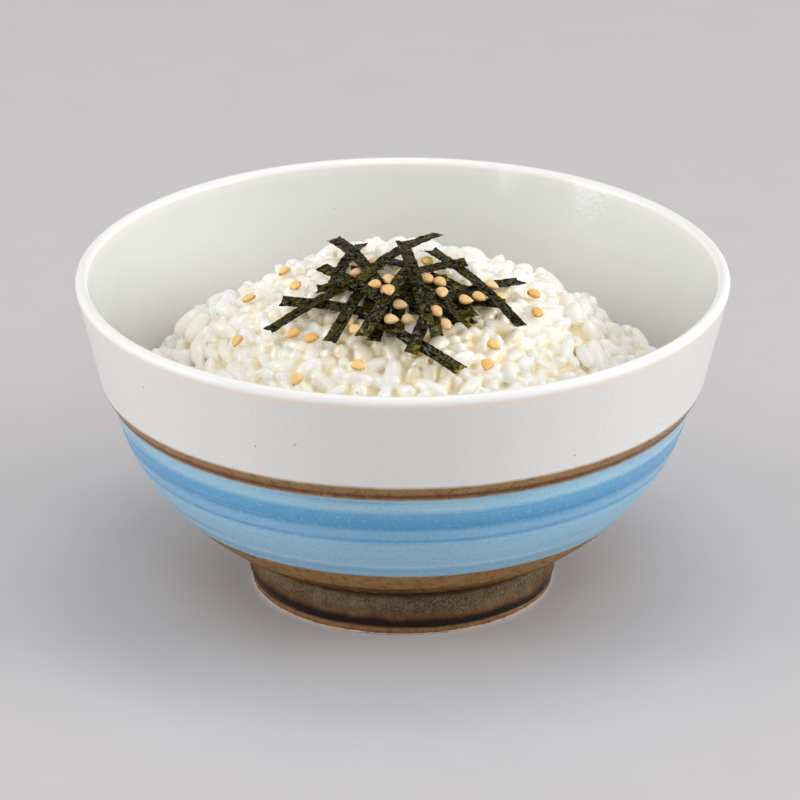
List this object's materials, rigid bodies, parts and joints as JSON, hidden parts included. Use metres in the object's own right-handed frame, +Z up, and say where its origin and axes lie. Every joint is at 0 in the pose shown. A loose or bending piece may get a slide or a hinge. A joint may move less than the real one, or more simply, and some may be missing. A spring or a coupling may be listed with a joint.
{
  "type": "rice bowl",
  "caption": "Footed ceramic rice bowl with painted bands, heaped with cooked rice under shredded nori strips and sesame seeds; the rice and the topping lift out.",
  "frame": {"origin": "centre of the foot ring's ground face, on the table", "axes": "+Z up along the bowl's axis, -Y towards the viewer of the picture, +X to the viewer's right"},
  "size_m": [0.151, 0.151, 0.0845],
  "materials": {
    "glazed_stoneware": "glossy off-white glaze with a blue belly band between brown bands and a grey-brown mottled foot",
    "cooked_rice": "moist, translucent, softly glossy",
    "dried_nori": "wrinkled, slightly glossy, with thin olive-green spots",
    "toasted_sesame": "satin, darker at the tip"
  },
  "bodies": {
    "bowl": {"bowl": "glazed_stoneware"},
    "rice": {"rice_mound": "cooked_rice", "rice_grains_inner": "cooked_rice", "rice_grains_middle": "cooked_rice", "rice_grains_outer": "cooked_rice", "sesame_on_rice": "toasted_sesame"},
    "topping": {"nori_strip_01": "dried_nori", "nori_strip_02": "dried_nori", "nori_strip_03": "dried_nori", "nori_strip_04": "dried_nori", "nori_strip_05": "dried_nori", "nori_strip_06": "dried_nori", "nori_strip_07": "dried_nori", "nori_strip_08": "dried_nori", "nori_strip_09": "dried_nori", "nori_strip_10": "dried_nori", "nori_strip_11": "dried_nori", "nori_strip_12": "dried_nori", "nori_strip_13": "dried_nori", "nori_strip_14": "dried_nori", "nori_strip_15": "dried_nori", "nori_strip_16": "dried_nori", "nori_strip_17": "dried_nori", "nori_strip_18": "dried_nori", "nori_strip_19": "dried_nori", "nori_strip_20": "dried_nori", "nori_strip_21": "dried_nori", "nori_strip_22": "dried_nori", "nori_strip_23": "dried_nori", "nori_strip_24": "dried_nori", "nori_strip_25": "dried_nori", "nori_strip_26": "dried_nori", "nori_strip_27": "dried_nori", "nori_strip_28": "dried_nori", "nori_strip_29": "dried_nori", "nori_strip_30": "dried_nori", "sesame_on_nori": "toasted_sesame"}
  },
  "joints": [
    {"name": "rice_lift", "type": "slide", "parent": "bowl", "child": "rice", "axis": [0, 0, 1], "range_m": [0, 0.09]},
    {"name": "topping_lift", "type": "slide", "parent": "rice", "child": "topping", "axis": [0, 0, 1], "range_m": [0, 0.04]}
  ]
}
